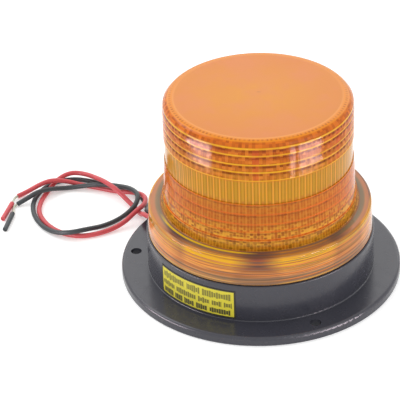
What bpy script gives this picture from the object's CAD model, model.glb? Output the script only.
import math

import bmesh
import bpy
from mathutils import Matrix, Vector


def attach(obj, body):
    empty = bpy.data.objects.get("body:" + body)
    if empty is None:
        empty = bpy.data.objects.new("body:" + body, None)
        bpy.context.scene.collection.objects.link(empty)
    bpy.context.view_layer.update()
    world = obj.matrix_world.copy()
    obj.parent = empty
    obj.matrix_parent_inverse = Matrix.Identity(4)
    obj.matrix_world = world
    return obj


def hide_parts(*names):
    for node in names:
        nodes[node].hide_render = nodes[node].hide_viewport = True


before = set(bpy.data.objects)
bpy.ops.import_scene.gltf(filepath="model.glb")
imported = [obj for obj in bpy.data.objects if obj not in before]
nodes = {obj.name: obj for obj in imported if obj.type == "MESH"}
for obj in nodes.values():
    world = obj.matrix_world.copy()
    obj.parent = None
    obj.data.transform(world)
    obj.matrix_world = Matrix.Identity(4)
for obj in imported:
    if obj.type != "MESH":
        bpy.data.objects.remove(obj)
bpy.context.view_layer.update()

MM = 0.001

# ---- Sizes shared with the CAD, in millimetres -------------------------------------------------
lens_bottom = 29.5
lens_height = 115.0
skirt_radius = 65.75
skirt_top_radius = 65.0
skirt_bore_radius = 62.7
shelf_height = 46.9
shelf_underside = 44.5
drum_foot_radius = 57.5
drum_radius = 55.1
foot_flare = 1.9
window_radius = 54.0
crown_radius = 54.6
drum_bore_radius = 51.6
roof_underside = 112.4
ridge_depth = 0.6
lower_ridges = [48.2, 53.5, 58.5, 63.2, 69.5, 76.0]
upper_ridges = [91.0, 96.4, 101.2, 106.9, 110.4]
crown_round = 4.55
flute_count = 90
flute_depth = 0.5
lens_segments = flute_count * 8
lead_radius = 1.5
thread_pitch = 4.0
shelf_round = 1.6
foot_round = 0.5
inside_round = 2.0

# ---- Details drawn on the lens, in millimetres ---------------------------------------------------
# On the top: x and y of the mark, and distances from the axis for the rest.
gate_mark = (0.1, 3.6)
crown_line = (47.3, 48.1)
crown_band = (48.3, 49.0)
crown_dot_radius = 50.2
crown_dot_count = 128
crown_facet_edge = (51.3, 52.1)
# Height over the table of the bright step under the crown's round.
crown_step = 111.3
# Heights of the cells that random tones are drawn for: small ones, and two that take in a whole band.
facet_height = 1.6
crown_dot_height = 50.0
column_height = 60.0
# The thread's light and dark lobes, as seen through the skirt and the shelf.
lobe_count = 7
lobe_start = math.radians(85)
# The bright arc on the shelf: its distance from the axis, and its turn to the front left.
shelf_glow_radius = 59.2
shelf_glow_turn = math.radians(122)

# ---- Leads, the route of the CAD solids --------------------------------------------------------
red_route = [
    (-63.583, 26.12, 10.8), (-71.348, 29.577, 10.8), (-75.6, 34.8, 9.9), (-77.9, 42.6, 3.8),
    (-82.4, 52.2, 1.5), (-89.2, 59.0, 3.6), (-96.7, 63.7, 8.6), (-105.0, 70.9, 9.4),
    (-112.9, 79.6, 6.8), (-121.2, 86.5, 5.0), (-130.0, 86.1, 5.6), (-137.1, 78.9, 4.5),
    (-141.5, 69.6, 1.5), (-143.8, 57.3, 1.5), (-142.9, 43.8, 1.5), (-135.5, 31.0, 1.5),
    (-125.0, 22.1, 1.5), (-112.1, 18.9, 1.5), (-99.1, 24.3, 1.5), (-88.4, 32.9, 2.5),
    (-80.7, 40.8, 7.6), (-76.1, 49.8, 7.6), (-77.7, 59.7, 6.8), (-85.1, 68.0, 4.0),
    (-97.5, 71.7, 1.5), (-111.0, 75.8, 1.5), (-122.4, 78.6, 1.5), (-131.3, 77.2, 4.8),
    (-139.9, 72.8, 7.6), (-147.6, 70.0, 5.2), (-154.3, 66.7, 2.0), (-159.4, 62.2, 1.5),
]
black_route = [
    (-61.956, 29.774, 10.8), (-69.721, 33.231, 10.8), (-74.0, 39.0, 9.9), (-74.9, 47.4, 4.0),
    (-77.0, 58.3, 1.5), (-83.2, 69.7, 1.5), (-94.0, 76.1, 1.5), (-105.9, 79.4, 1.5),
    (-117.4, 83.7, 1.5), (-128.6, 85.0, 1.5), (-139.7, 80.3, 1.5), (-146.5, 69.1, 1.5),
    (-148.6, 55.8, 1.5), (-145.7, 42.0, 1.5), (-138.3, 29.2, 1.5), (-128.4, 20.7, 2.5),
    (-118.0, 17.3, 5.2), (-108.4, 22.3, 5.0), (-99.9, 31.7, 1.5), (-90.3, 41.3, 1.5),
    (-82.6, 49.6, 5.4), (-81.6, 59.3, 7.8), (-88.2, 68.7, 6.6), (-98.7, 73.1, 5.2),
    (-109.8, 73.9, 5.4), (-120.5, 74.8, 2.8), (-130.9, 73.7, 1.5), (-139.3, 67.3, 4.6),
    (-146.1, 60.1, 6.6), (-152.7, 56.3, 3.4), (-157.9, 52.8, 1.5),
]
lead_ends = {
    "red": {"route": red_route, "slug": (-161.4, 53.6, 1.5), "aim": (-0.115, -0.993, 0.0)},
    "black": {"route": black_route, "slug": (-158.7, 41.9, 1.5), "aim": (-0.06, -0.998, 0.0)},
}
slug_length = 18.5
slug_bore_radius = 0.8


# ---- Node-tree helpers ---------------------------------------------------------------------------
class Shader:
    """A material under construction, with short calls for the nodes that this scene uses."""

    def __init__(self, name):
        self.material = bpy.data.materials.new(name)
        self.material.use_nodes = True
        self.tree = self.material.node_tree
        self.bsdf = self.tree.nodes["Principled BSDF"]

    def node(self, kind, **inputs):
        made = self.tree.nodes.new(kind)
        for key, value in inputs.items():
            self.feed(made.inputs[key], value)
        return made

    def feed(self, socket, value):
        if isinstance(value, bpy.types.NodeSocket):
            self.tree.links.new(value, socket)
        else:
            socket.default_value = value

    def set(self, **inputs):
        for key, value in inputs.items():
            self.feed(self.bsdf.inputs[key.replace("_", " ")], value)
        return self

    def math(self, operation, a, b=0.0, c=0.0):
        made = self.tree.nodes.new("ShaderNodeMath")
        made.operation = operation
        for socket, value in zip(made.inputs, (a, b, c)):
            self.feed(socket, value)
        return made.outputs[0]

    def times(self, a, b):
        return self.math("MULTIPLY", a, b)

    def flip(self, value):
        """What a value lacks to 1."""
        return self.math("SUBTRACT", 1.0, value)

    def away(self, value, middle):
        """How far a value is from a middle, on either side."""
        return self.math("ABSOLUTE", self.math("SUBTRACT", value, middle))

    def mix(self, factor, a, b, blend="MIX"):
        made = self.tree.nodes.new("ShaderNodeMix")
        made.data_type = "RGBA"
        made.blend_type = blend
        self.feed(made.inputs[0], factor)
        self.feed(made.inputs[6], a)
        self.feed(made.inputs[7], b)
        return made.outputs[2]

    def ramp(self, factor, stops, interpolation="LINEAR"):
        made = self.tree.nodes.new("ShaderNodeValToRGB")
        made.color_ramp.interpolation = interpolation
        elements = made.color_ramp.elements
        while len(elements) < len(stops):
            elements.new(0.5)
        for element, (place, colour) in zip(elements, stops):
            element.position = place
            element.color = colour
        self.feed(made.inputs[0], factor)
        return made.outputs[0]

    def place(self):
        """The point on the piece in its own frame, in millimetres: whole, then x, y and z."""
        where = self.tree.nodes.new("ShaderNodeTexCoord").outputs["Object"]
        in_mm = self.tree.nodes.new("ShaderNodeVectorMath")
        in_mm.operation = "SCALE"
        self.feed(in_mm.inputs[0], where)
        in_mm.inputs["Scale"].default_value = 1 / MM
        parts = self.node("ShaderNodeSeparateXYZ", Vector=in_mm.outputs[0])
        return in_mm.outputs[0], parts.outputs[0], parts.outputs[1], parts.outputs[2]

    def noise(self, where, scale, detail=3.0, rough=0.55):
        made = self.node("ShaderNodeTexNoise", Vector=where, Scale=scale, Detail=detail, Roughness=rough)
        return made.outputs["Fac"]

    def draw(self, first, second):
        """A random 0 to 1 value for each pair of whole numbers."""
        cell = self.node("ShaderNodeCombineXYZ", X=first, Y=second)
        return self.node("ShaderNodeTexWhiteNoise", Vector=cell.outputs[0]).outputs["Value"]

    def bump(self, height, strength, distance):
        made = self.node("ShaderNodeBump", Height=height, Strength=strength, Distance=distance)
        return made.outputs[0]

    def drift(self, noise, low=0.0, high=1.0):
        """Noise spread over a whole range; a noise texture itself stays mostly between 0.3 and 0.7."""
        return self.span(noise, 0.3, 0.7, low, high)

    def span(self, value, low, high, to_low=0.0, to_high=1.0):
        """A value read on a scale from low to high, held at its ends."""
        made = self.node("ShaderNodeMapRange", Value=value)
        made.inputs[1].default_value = low
        made.inputs[2].default_value = high
        made.inputs[3].default_value = to_low
        made.inputs[4].default_value = to_high
        return made.outputs[0]


def srgb(red, green, blue):
    """Linear colour of an 8-bit display colour."""
    def linear(value):
        share = value / 255
        return share / 12.92 if share <= 0.04045 else ((share + 0.055) / 1.055) ** 2.4
    return (linear(red), linear(green), linear(blue), 1.0)


def scaled(colour, factor):
    """The same colour lighter or darker, kept within white."""
    return tuple(min(1.0, c * factor) for c in colour[:3]) + (1.0,)


def placed(name, data):
    """A new object of the scene that shows a mesh, a curve, a light or a camera."""
    made = bpy.data.objects.new(name, data)
    bpy.context.scene.collection.objects.link(made)
    return made


def give(node, material):
    """Put one material on a CAD node or piece, in all its slots."""
    if not node.data.materials:
        node.data.materials.append(material)
    for slot in node.material_slots:
        slot.material = material


# ---- Materials -----------------------------------------------------------------------------------
def moulded_plastic(name, colour, spread, roughness, grain=0.9, depth=0.00004):
    """Moulded plastic with a fine grain, slight colour drift and uneven gloss."""
    made = Shader(name)
    where = made.place()[0]
    drift = made.noise(where, 0.035, 4.0)
    fine = made.noise(where, grain, 5.0, 0.6)
    gloss = made.noise(where, 0.18, 4.0)
    made.set(
        Base_Color=made.mix(made.drift(drift), scaled(colour, 1 - spread), scaled(colour, 1 + spread)),
        Roughness=made.drift(gloss, roughness - 0.06, roughness + 0.06),
        Normal=made.bump(fine, 0.35, depth),
    )
    return made


def metal(name, colour, roughness, grain=1.2):
    """Bare or plated metal with a cloudy tone and uneven gloss."""
    made = Shader(name)
    where = made.place()[0]
    tone = made.noise(where, grain, 4.0)
    gloss = made.noise(where, grain * 2, 3.0)
    made.set(
        Metallic=1.0,
        Base_Color=made.mix(made.drift(tone), scaled(colour, 0.8), colour),
        Roughness=made.drift(gloss, roughness - 0.08, roughness + 0.1),
        Normal=made.bump(tone, 0.2, 0.00003),
    )
    return made


def base_plastic():
    """Charcoal plastic of the base, with a fine, shallow grain and a slight shine."""
    made = moulded_plastic("base_charcoal", srgb(57, 57, 65), 0.05, 0.24, 0.9, 0.000004)
    made.set(Specular_IOR_Level=0.5)
    return made.material


def amber(name, transmission=0.3, roughness=0.12, sheen=0.13):
    """Shader of one zone of the amber lens."""
    made = Shader(name)
    made.set(Transmission_Weight=transmission, Roughness=roughness, IOR=1.5, Specular_IOR_Level=sheen)
    return made


def radius_of(made, x, y):
    """Distance from the beacon's axis, in millimetres."""
    return made.math("SQRT", made.math("ADD", made.times(x, x), made.times(y, y)))


def flute_wave(made, x, y, count=flute_count):
    """0 to 1 wave round the axis, one period for each flute unless another count is given."""
    turned = made.times(made.math("ARCTAN2", y, x), float(count))
    return made.math("MULTIPLY_ADD", made.math("COSINE", turned), 0.5, 0.5)


def facets(made, x, y, z, count, step):
    """A random 0 to 1 value for each small facet: count of them round the axis, step mm high."""
    turned = made.times(made.math("ARCTAN2", y, x), count / (2 * math.pi))
    return made.draw(made.math("FLOOR", turned), made.math("FLOOR", made.times(z, 1 / step)))


def streaks(made, where, along, across, detail=4.0):
    """Noise drawn out round the axis: along is its scale in the plane, across its scale in height."""
    drawn = made.node("ShaderNodeMapping", Vector=where)
    drawn.inputs["Scale"].default_value = (along, along, across)
    return made.noise(drawn.outputs[0], 1.0, detail)


def thread_lobes(made, x, y, where):
    """0 to 1 round the axis, in uneven lobes: where the thread behind sends light out and where not."""
    turned = made.math("MULTIPLY_ADD", made.math("ARCTAN2", y, x), float(lobe_count),
                       lobe_count * lobe_start)
    lobe = made.math("MULTIPLY_ADD", made.math("COSINE", turned), -0.5, 0.5)
    drift = made.drift(made.noise(where, 0.02, 2.0))
    return made.span(made.math("MULTIPLY_ADD", drift, 0.2, lobe), 0.15, 0.65)


def height_ramp(made, z, stops, interpolation="LINEAR"):
    """Colour by height, from stops of (height in mm, display colour)."""
    low, high = stops[0][0], stops[-1][0]
    return made.ramp(made.span(z, low, high),
                     [((h - low) / (high - low), srgb(*colour)) for h, colour in stops], interpolation)


def moulding_mark(made, where):
    """1 on the small oval scar that the mould's gate leaves near the centre of the top."""
    across, along = 0.55, 1.2
    squeezed = made.node("ShaderNodeMapping", Vector=where)
    squeezed.inputs["Scale"].default_value = (across, along, 0.0)
    distance = made.node("ShaderNodeVectorMath")
    distance.operation = "DISTANCE"
    made.feed(distance.inputs[0], squeezed.outputs[0])
    distance.inputs[1].default_value = (gate_mark[0] * across, gate_mark[1] * along, 0.0)
    return made.span(distance.outputs["Value"], 0.35, 0.95, 1.0, 0.0)


def lens_top():
    """Top and crown: an even face, two bright lines, a row of dots, then facets down the shoulder."""
    made = amber("amber_top", 0.1, 0.16, 0.2)
    where, x, y, z = made.place()
    cloud = made.noise(where, 0.014, 3.0)
    radius = radius_of(made, x, y)
    middle = made.math("MULTIPLY_ADD", made.span(radius, 8.0, 44.0, 1.0, 0.0), 0.7,
                       made.times(made.span(cloud, 0.35, 0.65), 0.3))
    colour = made.mix(middle, srgb(217, 129, 48), srgb(221, 145, 22))
    blush = streaks(made, where, 0.03, 0.03)
    colour = made.mix(made.times(made.span(blush, 0.5, 0.66), 0.4), colour, srgb(220, 128, 78))
    front = made.span(y, 16.0, -14.0, 0.4, 1.0)
    for ring, tone in ((crown_line, srgb(230, 150, 62)), (crown_band, srgb(230, 138, 30))):
        colour = made.mix(made.times(made.span(radius, *ring), front), colour, tone)
    row = made.times(made.span(made.away(radius, crown_dot_radius), 0.4, 1.0, 1.0, 0.0), front)
    strength = facets(made, x, y, z, crown_dot_count, crown_dot_height)
    dots = made.times(made.math("MULTIPLY_ADD", strength, 0.7, 0.3), row)
    dots = made.times(dots, flute_wave(made, x, y, crown_dot_count))
    colour = made.mix(made.times(dots, 0.8), colour, srgb(158, 74, 4))
    spot = facets(made, x, y, z, flute_count * 2, facet_height)
    deep = made.mix(spot, srgb(222, 116, 22), srgb(172, 78, 6))
    colour = made.mix(made.times(made.span(radius, *crown_facet_edge), front), colour, deep)
    mark = moulding_mark(made, where)
    colour = made.mix(made.times(mark, 0.4), colour, srgb(170, 95, 40))
    made.set(
        Base_Color=colour,
        Normal=made.bump(made.math("ADD", made.noise(where, 0.5, 4.0), mark), 0.2, 0.00006),
    )
    return made.material


def ridge_rows(made, z, heights, width):
    """1 on the bright step at the foot of each ridge, fading to 0 across its face."""
    rows = 0.0
    for height in heights:
        near = made.away(z, height + 0.1)
        rows = made.math("MAXIMUM", made.span(near, width * 0.35, width, 1.0, 0.0), rows)
    return rows


def lens_upper():
    """Crown band: bright steps, dark faces broken up by the flutes behind them."""
    made = amber("amber_upper", 0.25)
    where, x, y, z = made.place()
    wave = flute_wave(made, x, y)
    colour = height_ramp(made, z, [
        (91.0, (198, 118, 12)), (93.5, (214, 140, 26)), (96.0, (180, 98, 6)), (97.4, (218, 128, 18)),
        (100.8, (184, 90, 4)), (102.2, (218, 116, 10)), (106.5, (190, 82, 3)), (108.0, (212, 102, 8)),
        (110.4, (186, 80, 4)), (112.5, (200, 92, 6)),
    ])
    cloud = streaks(made, where, 0.04, 0.15)
    colour = made.mix(made.times(made.span(cloud, 0.42, 0.64), 0.75), colour, srgb(216, 112, 12))
    spot = facets(made, x, y, z, flute_count * 2, facet_height)
    hollow = made.math("POWER", flute_wave(made, x, y, flute_count * 2), 2.0)
    dark = made.times(made.math("MULTIPLY_ADD", hollow, 0.6, 0.4), made.span(spot, 0.25, 0.95))
    colour = made.mix(made.times(dark, 0.54), colour, srgb(134, 56, 2))
    colour = made.mix(made.times(made.span(spot, 0.4, 0.1), 0.6), colour, srgb(238, 140, 28))
    column = facets(made, x, y, z, flute_count, column_height)
    colour = made.mix(made.times(made.span(column, 0.72, 0.84), 0.45), colour, srgb(224, 82, 34))
    line = made.times(made.span(wave, 0.8, 0.95), made.span(z, 103.0, 92.0))
    colour = made.mix(made.times(line, 0.6), colour, srgb(240, 150, 44))
    steps = upper_ridges[:-1] + [crown_step]
    rows = ridge_rows(made, z, steps, 0.85)
    gleam = made.math("MULTIPLY_ADD", made.span(cloud, 0.35, 0.6), 0.3, 0.65)
    colour = made.mix(made.times(rows, gleam), colour, srgb(255, 194, 36))
    beside = ridge_rows(made, z, [height - 1.4 for height in steps], 0.9)
    flank = made.span(made.math("ABSOLUTE", x), 0.25 * crown_radius, 0.6 * crown_radius, 0.0, 0.95)
    even = made.times(made.flip(wave), flank)
    uneven = made.math("MULTIPLY_ADD", spot, 0.6, 0.15)
    dots = made.times(beside, made.math("MAXIMUM", uneven, even))
    colour = made.mix(dots, colour, srgb(118, 48, 1))
    made.set(Base_Color=colour,
             Specular_IOR_Level=made.span(made.math("MAXIMUM", dots, dark), 0.1, 0.6, 0.16, 0.02))
    return made.material


def lens_lower():
    """Foot band: orange faces with fainter steps, breaking into yellow sparkle at the very foot."""
    made = amber("amber_lower", 0.25)
    where, x, y, z = made.place()
    wave = flute_wave(made, x, y)
    colour = height_ramp(made, z, [
        (47.5, (218, 156, 44)), (50.0, (214, 160, 44)), (52.0, (224, 162, 36)), (54.0, (214, 138, 28)),
        (57.0, (196, 112, 16)), (60.0, (194, 108, 12)), (66.0, (190, 96, 10)), (72.0, (194, 102, 14)),
        (75.0, (190, 112, 20)), (76.0, (214, 104, 24)),
    ])
    cloud = streaks(made, where, 0.04, 0.2)
    colour = made.mix(made.times(made.span(cloud, 0.45, 0.66), 0.7), colour, srgb(204, 92, 8))
    flank = made.span(made.math("ABSOLUTE", x), 0.45 * drum_radius, 0.9 * drum_radius, 0.0, 0.7)
    colour = made.mix(made.times(flank, made.span(z, 52.0, 60.0)), colour, srgb(226, 98, 4))
    spot = facets(made, x, y, z, flute_count * 2, 1.7)
    colour = made.mix(made.times(made.span(spot, 0.5, 1.0), 0.4), colour, srgb(150, 66, 4))
    foot = made.span(z, 64.0, 54.0, 0.15, 1.0)
    twin = flute_wave(made, x, y, flute_count * 2)
    lanes = made.times(twin, made.span(z, 66.0, 58.0, 0.25, 0.6))
    colour = made.mix(lanes, colour, srgb(226, 156, 40))
    furrow = made.times(made.flip(twin), made.span(z, 66.0, 58.0, 0.16, 0.36))
    colour = made.mix(furrow, colour, srgb(150, 74, 4))
    small = facets(made, x, y, z, flute_count * 2, 1.15)
    sparkle = made.times(made.span(small, 0.5, 0.25), foot)
    sparkle = made.times(sparkle, made.span(z, 50.2, 51.6))
    colour = made.mix(made.times(sparkle, 0.8), colour, srgb(248, 184, 44))
    pits = made.times(made.span(small, 0.7, 0.9), made.span(z, 62.0, 54.0))
    colour = made.mix(made.times(pits, 0.6), colour, srgb(124, 84, 6))
    column = made.times(made.math("POWER", wave, 3.0), made.span(z, 50.0, 72.0, 0.3, 0.45))
    column = made.times(column, made.span(z, 48.4, 49.6))
    colour = made.mix(column, colour, srgb(226, 142, 36))
    rows = ridge_rows(made, z, lower_ridges[1:], 0.9)
    gleam = made.math("MULTIPLY_ADD", made.span(cloud, 0.6, 0.4), 0.4, 0.35)
    colour = made.mix(made.times(rows, gleam), colour, srgb(246, 112, 20))
    under = ridge_rows(made, z, [height - 1.3 for height in lower_ridges[1:]], 0.8)
    shade = made.times(under, made.math("MULTIPLY_ADD", spot, 0.5, 0.15))
    colour = made.mix(shade, colour, srgb(136, 52, 4))
    made.set(Base_Color=colour)
    return made.material


def lens_window():
    """Clear band: olive gaps between the orange images of the flutes."""
    made = amber("amber_window", 0.3)
    where, x, y, z = made.place()
    wave = flute_wave(made, x, y)
    cloud = streaks(made, where, 0.05, 0.05)
    gap = made.mix(made.span(cloud, 0.4, 0.6), srgb(192, 140, 16), srgb(206, 150, 20))
    edge = made.times(made.span(wave, 0.3, 0.55), made.span(wave, 0.85, 0.6))
    gap = made.mix(made.times(edge, 0.55), gap, srgb(156, 106, 8))
    column = facets(made, x, y, z, flute_count, column_height)
    crest = made.times(made.span(wave, 0.76, 0.95), made.math("MULTIPLY_ADD", column, 0.5, 0.5))
    between = made.span(facets(made, x, y, z, flute_count * 2, column_height), 0.3, 0.9, 0.1, 0.6)
    valley = made.times(made.math("POWER", made.flip(wave), 6.0), between)
    colour = made.mix(made.math("MAXIMUM", crest, valley), gap, srgb(255, 170, 48))
    head = made.span(z, 89.4, 90.8)
    colour = made.mix(made.times(head, 0.6), colour, srgb(232, 136, 28))
    foot = made.times(made.span(z, 78.6, 76.8), made.flip(wave))
    colour = made.mix(made.times(foot, 0.6), colour, srgb(206, 108, 26))
    made.set(Base_Color=colour)
    return made.material


def lens_shelf():
    """Shelf round the drum: the thread's light and dark stretches, and a bright arc at the front left."""
    made = amber("amber_shelf", 0.35, 0.1)
    where, x, y, _ = made.place()
    radius = radius_of(made, x, y)
    flow = made.node("ShaderNodeCombineXYZ", X=made.times(x, 0.02),
                     Y=made.times(y, 0.02), Z=made.times(radius, 0.5))
    streak = made.noise(flow.outputs[0], 1.0, 3.0)
    lobes = thread_lobes(made, x, y, where)
    dark = made.ramp(made.drift(streak), [
        (0.0, srgb(96, 78, 80)), (0.5, srgb(112, 88, 82)), (0.8, srgb(146, 92, 66)),
    ])
    light = made.ramp(made.drift(streak), [
        (0.0, srgb(140, 116, 90)), (0.4, srgb(170, 132, 92)), (0.6, srgb(196, 128, 76)),
        (0.85, srgb(232, 160, 66)),
    ])
    colour = made.mix(made.times(lobes, 0.8), dark, light)
    flank = made.ramp(made.span(radius, 58.0, 65.0), [
        (0.0, srgb(190, 118, 56)), (0.08, srgb(150, 136, 100)), (0.36, srgb(172, 150, 108)),
        (0.5, srgb(232, 160, 106)), (1.0, srgb(236, 150, 98)),
    ])
    beside = made.span(made.math("DIVIDE", made.math("ABSOLUTE", x), radius), 0.74, 0.9, 0.0, 0.85)
    colour = made.mix(beside, colour, flank)
    rim = made.span(made.away(radius, shelf_glow_radius), 0.4, 0.9, 1.0, 0.0)
    turned = made.math("ADD", made.math("ARCTAN2", y, x), shelf_glow_turn)
    run = made.span(made.math("COSINE", turned), 0.8, 0.9)
    colour = made.mix(made.times(rim, run), colour, srgb(255, 214, 40))
    made.set(Base_Color=made.mix(made.span(radius, 58.2, 57.6), colour, srgb(168, 104, 32)))
    return made.material


def lens_skirt():
    """Skirt with the thread seen through it: orange, with grey-brown bands along the helix."""
    made = amber("amber_skirt", 0.3, 0.07)
    where, x, y, z = made.place()
    angle = made.math("ARCTAN2", y, x)
    climb = made.math("MULTIPLY_ADD", angle, -thread_pitch / (2 * math.pi) * 0.25, z)
    dark = height_ramp(made, climb, [
        (29.0, (110, 58, 40)), (30.0, (204, 140, 88)), (31.6, (172, 140, 104)), (33.2, (134, 118, 94)),
        (35.0, (140, 112, 88)), (36.0, (206, 126, 82)), (37.5, (220, 126, 68)), (38.5, (172, 104, 76)),
        (39.8, (208, 112, 58)), (41.3, (140, 92, 78)), (42.8, (112, 88, 76)), (43.8, (222, 126, 56)),
        (44.8, (114, 84, 76)), (46.0, (196, 104, 64)), (47.5, (100, 80, 74)),
    ])
    light = height_ramp(made, climb, [
        (29.0, (120, 52, 26)), (30.3, (250, 188, 84)), (31.9, (226, 164, 96)), (32.7, (150, 124, 90)),
        (34.0, (156, 124, 90)), (34.8, (240, 160, 92)), (37.0, (255, 172, 88)), (40.0, (255, 174, 68)),
        (41.4, (226, 148, 90)), (42.4, (248, 162, 60)), (43.4, (204, 128, 66)), (44.8, (255, 204, 24)),
        (46.2, (255, 182, 40)), (47.5, (204, 140, 90)),
    ])
    lobes = thread_lobes(made, x, y, where)
    dark = made.mix(1.0, dark, (0.74, 0.72, 0.8, 1.0), "MULTIPLY")
    left = made.span(x, -0.5 * skirt_radius, -0.72 * skirt_radius, 0.0, 0.9)
    right = made.span(x, 0.55 * skirt_radius, 0.8 * skirt_radius, 0.0, 0.55)
    low = made.span(z, 41.0, 36.5, 0.0, 0.6)
    for lit in (left, right, low):
        lobes = made.math("MAXIMUM", lobes, lit)
    colour = made.mix(lobes, dark, light)
    fine = streaks(made, where, 0.012, 0.8, 2.0)
    colour = made.mix(made.times(made.span(fine, 0.51, 0.57), 0.75), colour, srgb(128, 98, 86))
    warm = streaks(made, where, 0.012, 1.1, 2.0)
    warm = made.times(made.span(warm, 0.55, 0.6), made.math("MULTIPLY_ADD", lobes, 0.45, 0.3))
    colour = made.mix(warm, colour, srgb(250, 146, 70))
    dusk = streaks(made, where, 0.011, 1.5, 1.0)
    colour = made.mix(made.times(made.span(dusk, 0.55, 0.62), 0.55), colour, srgb(140, 80, 40))
    glint = streaks(made, where, 0.01, 1.2, 1.0)
    lit = made.times(made.span(glint, 0.54, 0.6), made.span(z, 38.0, 42.5))
    colour = made.mix(made.times(lit, lobes), colour, srgb(255, 192, 28))
    made.set(Base_Color=colour)
    return made.material


def lens_inside():
    """Inner faces of the lens, plain amber with a faint ripple."""
    made = amber("amber_inside", 0.6, 0.15)
    where = made.place()[0]
    made.set(Base_Color=srgb(240, 150, 60), Normal=made.bump(made.noise(where, 0.4, 3.0), 0.1, 0.00005))
    return made.material


def board_material():
    """Green solder mask with lighter tracks that run square to each other."""
    made = Shader("solder_mask")
    where, x, y, _ = made.place()
    tracks = 0.0
    for along, across, tracks_per_mm in ((x, y, 0.42), (y, x, 0.34)):
        lane = made.times(across, tracks_per_mm)
        block = made.math("FLOOR", made.times(along, 0.07))
        used = made.math("GREATER_THAN", made.draw(made.math("FLOOR", lane), block), 0.55)
        centre = made.math("LESS_THAN", made.away(made.math("FRACT", lane), 0.5), 0.22)
        tracks = made.math("MAXIMUM", made.times(used, centre), tracks)
    tone = made.mix(made.drift(made.noise(where, 0.08, 3.0)), srgb(24, 84, 46), srgb(30, 98, 54))
    made.set(Base_Color=made.mix(tracks, tone, srgb(52, 132, 72)), Roughness=0.32,
             Normal=made.bump(tracks, 0.4, 0.00003))
    return made.material


def sleeve_material(name, colour, stripes_per_mm):
    """Shrink sleeve with pale stripes and a duller, creased surface."""
    made = Shader(name)
    where, x, _, _ = made.place()
    stripes = made.math("GREATER_THAN", made.math("FRACT", made.times(x, stripes_per_mm)), 0.86)
    crease = made.noise(where, 0.9, 4.0)
    tone = made.mix(made.drift(crease), scaled(colour, 0.8), colour)
    made.set(Base_Color=made.mix(stripes, tone, srgb(186, 190, 196)), Roughness=0.35,
             Normal=made.bump(crease, 0.3, 0.00006))
    return made.material


def winding_material():
    """Enamelled wire laid side by side."""
    made = Shader("enamelled_copper")
    where, _, y, _ = made.place()
    lay = made.math("MULTIPLY_ADD", made.math("SINE", made.times(y, 14.0)), 0.5, 0.5)
    tone = made.mix(lay, srgb(120, 56, 26), srgb(206, 116, 58))
    made.set(Metallic=0.7, Base_Color=made.mix(made.noise(where, 0.3, 3.0), tone, srgb(176, 92, 44)),
             Roughness=0.35, Normal=made.bump(lay, 0.6, 0.00008))
    return made.material


def resistor_material():
    """Beige bodies with coloured bands and a little grime."""
    made = Shader("resistor_bodies")
    where, x, _, _ = made.place()
    beige = srgb(206, 178, 132)
    band = made.math("FRACT", made.times(x, 0.5))
    colour = made.ramp(band, [
        (0.0, beige), (0.3, srgb(120, 60, 30)), (0.42, beige),
        (0.6, srgb(190, 40, 36)), (0.72, beige), (0.88, srgb(176, 142, 60)),
    ], "CONSTANT")
    grime = made.noise(where, 0.7, 3.0)
    made.set(Base_Color=made.mix(made.times(grime, 0.25), colour, srgb(150, 120, 84)),
             Roughness=0.4, Normal=made.bump(grime, 0.2, 0.00004))
    return made.material


def glass(name, tint, haze):
    """Clear glass with a faint ripple."""
    made = Shader(name)
    where = made.place()[0]
    ripple = made.noise(where, 0.25, 3.0)
    made.set(Base_Color=tint, Transmission_Weight=0.85, IOR=1.47,
             Roughness=made.drift(ripple, haze, haze + 0.06), Normal=made.bump(ripple, 0.1, 0.00004))
    return made.material


# ---- Lens mesh -----------------------------------------------------------------------------------
def arc_points(centre, radius, start, end, count):
    """Points of an arc in the profile plane, angles in degrees."""
    return [
        (centre[0] + radius * math.cos(math.radians(start + (end - start) * i / count)),
         centre[1] + radius * math.sin(math.radians(start + (end - start) * i / count)))
        for i in range(count + 1)
    ]


def tooth_points(radius, heights, flare=0.0):
    """Sawtooth outline: full radius at the bottom of each ridge, leaning in towards its top."""
    lip = 0.18
    points = []
    for low, high in zip(heights, heights[1:]):
        outside = radius + flare * ((heights[-1] - low) / (heights[-1] - heights[0])) ** 3
        points += [(outside - lip, low), (outside, low + lip), (outside - ridge_depth, high - 0.02)]
    return points


def spaced(points, step):
    """The same outline with long runs divided, so that the flutes and bands stay smooth."""
    out = [points[0]]
    for (r0, z0), (r1, z1) in zip(points, points[1:]):
        count = max(1, int(math.hypot(r1 - r0, z1 - z0) / step))
        out += [(r0 + (r1 - r0) * i / count, z0 + (z1 - z0) * i / count) for i in range(1, count + 1)]
    return out


def bridge(shape, lower, upper, zone=0):
    """Join two rings of vertices with faces; a ring may be a single vertex."""
    count = max(len(lower), len(upper))
    for i in range(count if count > 1 else 0):
        j = (i + 1) % count
        if len(lower) == 1:
            corners = (lower[0], upper[j], upper[i])
        elif len(upper) == 1:
            corners = (lower[i], lower[j], upper[0])
        else:
            corners = (lower[i], lower[j], upper[j], upper[i])
        face = shape.faces.new(corners)
        face.material_index = zone
        face.smooth = True


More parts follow.
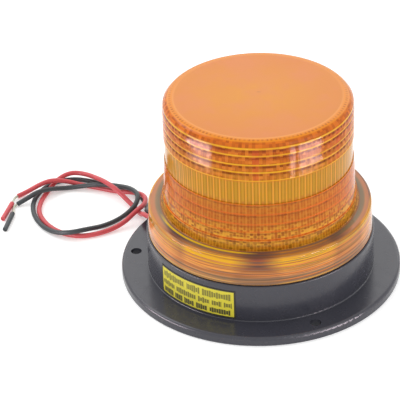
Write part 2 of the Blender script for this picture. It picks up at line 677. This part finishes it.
def build_lens():
    """Lathe the lens: outside from the skirt's lip to the crown's centre, then inside back down."""
    lip = 0.4
    bead = 0.25
    crown_wall = crown_radius - ridge_depth
    crown_centre = (crown_wall - crown_round, lens_height - crown_round)
    zones = [
        ("amber_skirt", [(skirt_bore_radius, lens_bottom), (skirt_radius - lip, lens_bottom),
                         (skirt_radius, lens_bottom + lip),
                         (skirt_top_radius + 0.05, shelf_height - shelf_round)]),
        ("amber_skirt", arc_points((skirt_top_radius - shelf_round, shelf_height - shelf_round),
                                   shelf_round, 0, 90, 6)),
        ("amber_shelf", [(skirt_top_radius - shelf_round, shelf_height),
                         (drum_foot_radius + foot_round, shelf_height)]),
        ("amber_shelf", arc_points((drum_foot_radius + foot_round, shelf_height + foot_round),
                                   foot_round, 270, 200, 5)),
        ("amber_lower", tooth_points(drum_radius, [shelf_height + foot_round] + lower_ridges[1:],
                                     foot_flare)),
        ("amber_window", [(window_radius, lower_ridges[-1]), (window_radius, upper_ridges[0])]),
        ("amber_upper", tooth_points(crown_radius, upper_ridges)),
        ("amber_upper", arc_points(crown_centre, crown_round, 0, 13, 3)),
        ("amber_upper", arc_points(crown_centre, crown_round + bead, 14, 20, 2)),
        ("amber_top", arc_points(crown_centre, crown_round, 24, 90, 9)),
        ("amber_top", [(crown_wall - crown_round, lens_height), (0.0, lens_height)]),
        ("amber_inside", [(0.0, roof_underside), (drum_bore_radius - inside_round, roof_underside)]),
        ("amber_inside", arc_points((drum_bore_radius - inside_round, roof_underside - inside_round),
                                    inside_round, 90, 0, 5)),
        ("amber_inside", [(drum_bore_radius, roof_underside - inside_round),
                          (drum_bore_radius, shelf_height + 0.6),
                          (drum_foot_radius - 3, shelf_underside),
                          (skirt_bore_radius, shelf_underside)]),
        ("amber_inside", [(skirt_bore_radius, shelf_underside), (skirt_bore_radius, lens_bottom)]),
    ]
    makers = {
        "amber_skirt": lens_skirt, "amber_shelf": lens_shelf, "amber_lower": lens_lower,
        "amber_window": lens_window, "amber_upper": lens_upper, "amber_top": lens_top,
        "amber_inside": lens_inside,
    }
    names = list(makers)
    ring_points, ring_zone = [], []
    for name, points in zones:
        for point in spaced(points, 2.0):
            if ring_points and math.dist(point, ring_points[-1]) < 1e-4:
                continue
            ring_points.append(point)
            ring_zone.append(names.index(name))
    mesh = bpy.data.meshes.new("amber_lens")
    shape = bmesh.new()
    rings = []
    for radius, height in ring_points:
        if radius < 1e-6:
            rings.append([shape.verts.new((0, 0, height * MM))])
            continue
        on_bore = abs(radius - drum_bore_radius) < 1e-6
        fluted = on_bore and shelf_height + 1.0 < height < roof_underside - 2.5
        ring = []
        for i in range(lens_segments):
            angle = 2 * math.pi * i / lens_segments
            reach = radius
            if fluted:
                reach += flute_depth * (0.5 + 0.5 * math.cos(angle * flute_count)) ** 0.7
            point = (reach * math.cos(angle) * MM, reach * math.sin(angle) * MM, height * MM)
            ring.append(shape.verts.new(point))
        rings.append(ring)
    for index, (lower, upper) in enumerate(zip(rings, rings[1:] + rings[:1])):
        bridge(shape, lower, upper, ring_zone[(index + 1) % len(rings)])
    shape.normal_update()
    shape.to_mesh(mesh)
    shape.free()
    lens = placed("amber_lens", mesh)
    for maker in makers.values():
        mesh.materials.append(maker())
    mark_sharp(mesh, 28.0)
    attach(lens, "lens")
    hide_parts("lens")


def mark_sharp(mesh, degrees):
    """Smooth shading that keeps the edges steeper than an angle crisp."""
    shape = bmesh.new()
    shape.from_mesh(mesh)
    for edge in shape.edges:
        if len(edge.link_faces) == 2 and edge.calc_face_angle(0.0) > math.radians(degrees):
            edge.smooth = False
    shape.to_mesh(mesh)
    shape.free()


# ---- Leads ---------------------------------------------------------------------------------------
def insulation(name, colour):
    """Vinyl insulation with a faint drift of tone along the lead."""
    made = Shader(name)
    where = made.place()[0]
    tone = made.noise(where, 0.12, 4.0)
    made.set(
        Base_Color=made.mix(made.drift(tone), scaled(colour, 0.88), colour),
        Roughness=made.drift(made.noise(where, 0.6, 3.0), 0.34, 0.46),
        Normal=made.bump(made.noise(where, 1.8, 3.0), 0.15, 0.00003),
        Specular_IOR_Level=0.45,
    )
    return made.material


def round_cord(name, points, radius):
    """Round cord with capped ends along a smooth curve, sizes in millimetres."""
    curve = bpy.data.curves.new(name, "CURVE")
    curve.dimensions = "3D"
    spline = curve.splines.new("NURBS")
    spline.points.add(len(points) - 1)
    for point, (x, y, z) in zip(spline.points, points):
        point.co = (x * MM, y * MM, z * MM, 1.0)
    spline.order_u = 3
    spline.use_endpoint_u = True
    spline.resolution_u = 8
    curve.bevel_depth = radius * MM
    curve.bevel_resolution = 5
    curve.use_fill_caps = True
    return placed(name, curve)


def ring_round(shape, hub, side, up, radius, count):
    """A ring of vertices round a point, in the plane of two directions, sizes in millimetres."""
    return [
        shape.verts.new((hub + (side * math.cos(turn) + up * math.sin(turn)) * radius) * MM)
        for turn in (2 * math.pi * k / count for k in range(count))
    ]


def closed_mesh(name, shape):
    """Mesh of a finished shape with its faces turned outwards."""
    bmesh.ops.recalc_face_normals(shape, faces=shape.faces)
    mesh = bpy.data.meshes.new(name)
    shape.to_mesh(mesh)
    shape.free()
    return mesh


def across(along):
    """Two directions square to a third one: level, and upwards."""
    side = along.cross(Vector((0, 0, 1))).normalized()
    return side, side.cross(along)


def twisted_strands(name, start, end, out, aim):
    """Six fine wires laid round a seventh, on a curve from the cut end of the lead to the slug."""
    p0, p3 = Vector(start), Vector(end)
    reach = (p3 - p0).length * 0.4
    p1 = p0 + Vector(out).normalized() * reach
    p2 = p3 - Vector(aim).normalized() * reach
    steps = 36
    outer_wires, twists = 6, 1.1
    lay_radius, wire_radius = 0.53, 0.27
    shape = bmesh.new()
    for strand in range(outer_wires + 1):
        rings = []
        for i in range(steps + 1):
            t = i / steps
            rest = 1 - t
            hub = p0 * rest ** 3 + p1 * 3 * t * rest ** 2 + p2 * 3 * t * t * rest + p3 * t ** 3
            along = (p1 - p0) * rest ** 2 + (p2 - p1) * 2 * t * rest + (p3 - p2) * t * t
            side, up = across(along.normalized())
            if strand < outer_wires:
                turn = 2 * math.pi * (twists * t + strand / outer_wires)
                hub += (side * math.cos(turn) + up * math.sin(turn)) * lay_radius
            rings.append(ring_round(shape, hub, side, up, wire_radius, 8))
        for lower, upper in zip(rings, rings[1:]):
            bridge(shape, lower, upper)
        shape.faces.new(rings[0])
        shape.faces.new(list(reversed(rings[-1])))
    return placed(name, closed_mesh(name, shape))


def slug_piece(name, start, aim):
    """Sleeve of insulation with softly rounded cut ends."""
    aim = Vector(aim).normalized()
    side, up = across(aim)
    edge = 0.12
    recess = 0.25
    profile = [(0.0, 0.0), (lead_radius - edge, 0.0), (lead_radius, edge),
               (lead_radius, slug_length / 2), (lead_radius, slug_length - edge),
               (lead_radius - edge, slug_length),
               (slug_bore_radius, slug_length), (slug_bore_radius - 0.1, slug_length - recess),
               (0.0, slug_length - recess)]
    shape = bmesh.new()
    rings = []
    for radius, along in profile:
        hub = Vector(start) + aim * along
        rings.append(ring_round(shape, hub, side, up, radius, 32 if radius > 0.0 else 1))
    for lower, upper in zip(rings, rings[1:]):
        bridge(shape, lower, upper)
    mesh = closed_mesh(name, shape)
    mark_sharp(mesh, 35.0)
    return placed(name, mesh)


def build_leads(insulations, tinned):
    """Both leads: an insulated run, its bared strands, and the slug of insulation beyond them."""
    for colour, facts in lead_ends.items():
        route = facts["route"]
        out = [b - a for a, b in zip(route[-2], route[-1])]
        lead = round_cord(f"{colour}_lead", route, lead_radius)
        give(lead, insulations[colour])
        strands = twisted_strands(f"{colour}_lead_strands", route[-1], facts["slug"], out, facts["aim"])
        give(strands, tinned)
        slug = slug_piece(f"{colour}_lead_slug", facts["slug"], facts["aim"])
        give(slug, insulations[colour])
        for piece, node, slot in (
            (lead, f"{colour}_wire", f"{colour}_insulation"),
            (strands, f"{colour}_wire_strands", "tinned_strands"),
            (slug, f"{colour}_wire_slug", f"{colour}_insulation"),
        ):
            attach(piece, "base")
            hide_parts(node)


# ---- Label ---------------------------------------------------------------------------------------
# Edges of the label: degrees round the axis, then millimetres over the table.
label_start, label_end = -141.9, -96.7
label_foot, label_head = 7.0, 25.4
# Where its frame begins, as shares of its width and height out from the middle.
frame_side, frame_end = 0.483, 0.455
# Each row of bars: middle and half height as shares of the label, weight of ink, ends of each word.
label_rows = [
    (0.75, 0.12, 0.72, [(0.04, 0.37), (0.41, 0.58), (0.61, 0.95)]),
    (0.45, 0.1, 0.78, [(0.03, 0.22), (0.25, 0.53), (0.56, 0.7), (0.73, 0.84), (0.87, 0.96)]),
    (0.18, 0.1, 0.95, [(0.04, 0.2), (0.23, 0.34), (0.37, 0.5), (0.53, 0.67), (0.7, 0.94)]),
]
label_columns = 36


def label_material():
    """Yellow printed label: a thin dark frame, and word-shaped bars in place of words."""
    made = Shader("label_print")
    where, x, y, z = made.place()
    angle = made.times(made.math("ARCTAN2", y, x), 180 / math.pi)
    along = made.span(angle, label_start, label_end)
    up = made.span(z, label_foot, label_head)
    yellow = made.mix(made.noise(where, 0.1, 3.0), srgb(204, 192, 42), srgb(218, 204, 54))
    ink = srgb(44, 42, 22)
    sides = made.math("GREATER_THAN", made.away(along, 0.5), frame_side)
    ends = made.math("GREATER_THAN", made.away(up, 0.5), frame_end)
    stroke = made.times(along, float(label_columns))
    for index, (middle, half, weight, cuts) in enumerate(label_rows):
        height = made.draw(made.math("FLOOR", stroke), index + 0.5)
        reach = made.math("MULTIPLY_ADD", height, half * 0.45, half * 0.65)
        row = made.math("LESS_THAN", made.away(up, middle), reach)
        stops = [(0.0, (0.0, 0.0, 0.0, 1.0))]
        for start, end in cuts:
            stops += [(start, (1.0, 1.0, 1.0, 1.0)), (end, (0.0, 0.0, 0.0, 1.0))]
        bars = made.times(row, made.ramp(along, stops, "CONSTANT"))
        between = made.math("LESS_THAN", made.math("FRACT", stroke), 0.25)
        solid = made.math("MULTIPLY_ADD", between, -0.5, weight)
        yellow = made.mix(made.times(bars, solid), yellow, ink)
    made.set(Base_Color=made.mix(made.math("MAXIMUM", sides, ends), yellow, ink), Roughness=0.5)
    return made.material


# ---- Light, floor and camera ---------------------------------------------------------------------
def lamp(name, place, aim, size, power, colour=(1, 1, 1), sheen_only=False):
    """Area light aimed at a point; a sheen_only one is seen in glosses but lights no matt surface."""
    data = bpy.data.lights.new(name, "AREA")
    data.shape = "RECTANGLE"
    data.size, data.size_y = size
    data.energy = power
    data.color = colour
    made = placed(name, data)
    made.location = place
    made.rotation_euler = (Vector(aim) - Vector(place)).to_track_quat("-Z", "Y").to_euler()
    made.visible_camera = False
    made.visible_diffuse = not sheen_only


def stage_floor():
    """White sheet under the beacon, a touch below the table plane so that nothing lies in it."""
    mesh = bpy.data.meshes.new("studio_floor")
    half = 6.0
    mesh.from_pydata([(-half, -half, 0), (half, -half, 0), (half, half, 0), (-half, half, 0)],
                     [], [(0, 1, 2, 3)])
    floor = placed("studio_floor", mesh)
    made = Shader("studio_white")
    made.set(Base_Color=(0.85, 0.85, 0.85, 1.0), Roughness=0.9, Emission_Color=(1.0, 1.0, 1.0, 1.0),
             Emission_Strength=0.32, Specular_IOR_Level=0.1)
    mesh.materials.append(made.material)
    floor.location.z = -0.0002


def studio():
    """White surroundings, soft lamps, and small panels that show only as sheen low on the beacon."""
    world = bpy.data.worlds.new("studio")
    world.use_nodes = True
    backdrop = world.node_tree.nodes["Background"]
    backdrop.inputs[0].default_value = (1.0, 1.0, 1.0, 1.0)
    backdrop.inputs[1].default_value = 1.0
    bpy.context.scene.world = world
    bpy.context.scene.view_settings.view_transform = "Standard"
    middle = (0, 0, 0.05)
    lamp("key", (-0.9, 0.35, 1.1), middle, (0.8, 0.8), 5)
    lamp("fill", (1.0, -0.6, 0.8), middle, (0.9, 0.6), 2)
    lamp("back_sheet", (-0.25, 2.4, 1.5), middle, (4.0, 1.6), 17, sheen_only=True)
    away, height = 0.26, 0.045
    for name, azimuth, width, power in (
        ("left_panel", -151.0, 0.15, 0.36),
        ("right_panel", -28.0, 0.13, 0.32),
        ("strip_panel", -49.0, 0.025, 0.05),
    ):
        turn = math.radians(azimuth)
        place = (away * math.cos(turn), away * math.sin(turn), height)
        lamp(name, place, (0, 0, height), (width, 0.05), power, (1.0, 0.84, 0.92), sheen_only=True)


def photo_camera():
    """Camera of the photo: a long lens, above the beacon and in front of it."""
    data = bpy.data.cameras.new("camera")
    data.lens = 182.0
    data.sensor_width = 36.0
    data.clip_start, data.clip_end = 0.05, 50.0
    camera = placed("camera", data)
    camera.location = (0.10428, -0.99213, 0.67410)
    camera.rotation_euler = [math.radians(a) for a in (57.789, 1.760, 6.889)]
    bpy.context.scene.camera = camera


# ---- Assembly ------------------------------------------------------------------------------------
photo_camera()
insulations = {
    "red": insulation("red_vinyl", srgb(208, 78, 84)),
    "black": insulation("black_vinyl", srgb(58, 63, 66)),
}
tinned = metal("tinned_copper", srgb(206, 206, 190), 0.3, 3.0).material
build_leads(insulations, tinned)
studio()
stage_floor()
build_lens()

give(nodes["base_housing"], base_plastic())
give(nodes["warning_label"], label_material())

rubber = moulded_plastic("black_rubber", srgb(44, 44, 46), 0.1, 0.6, 1.2).material
for name in ("cable_grommet", "lens_gasket"):
    give(nodes[name], rubber)
white = moulded_plastic("white_plastic", srgb(232, 232, 226), 0.03, 0.45).material
dark = moulded_plastic("dark_plastic", srgb(38, 38, 42), 0.1, 0.4).material
ferrite = moulded_plastic("ferrite_grey", srgb(64, 62, 62), 0.12, 0.55, 1.6, 0.0001).material
steel = metal("zinc_steel", srgb(200, 200, 205), 0.3).material
brass = metal("turned_brass", srgb(210, 178, 96), 0.3).material
finishes = {
    "reflector_disc": white, "socket_leads": white,
    "tube_socket": dark, "tube_base": dark, "trigger_coil": dark, "power_transistor": dark,
    "diodes": dark, "timer_chip": dark,
    "board_screws": steel, "reflector_screws": steel, "tube_pins": steel, "tube_electrodes": steel,
    "trigger_wire": steel, "transistor_screw": steel, "fuse_clips": steel, "heat_sink": steel,
    "solder_joints": steel,
    "cover_spacers": brass,
    "red_lead_inside": insulations["red"], "black_lead_inside": insulations["black"],
    "circuit_board": board_material(),
    "storage_capacitor": sleeve_material("storage_sleeve", srgb(38, 42, 52), 0.06),
    "filter_capacitors": sleeve_material("filter_sleeve", srgb(30, 54, 104), 0.125),
    "film_capacitors": moulded_plastic("film_epoxy", srgb(148, 58, 34), 0.08, 0.3, 0.8).material,
    "transformer_core": ferrite,
    "transformer_winding": winding_material(),
    "resistors": resistor_material(),
    "fuse": glass("fuse_glass", srgb(226, 234, 232), 0.05),
    "flash_tube": glass("tube_glass", srgb(240, 244, 246), 0.03),
}
for name, material in finishes.items():
    give(nodes[name], material)
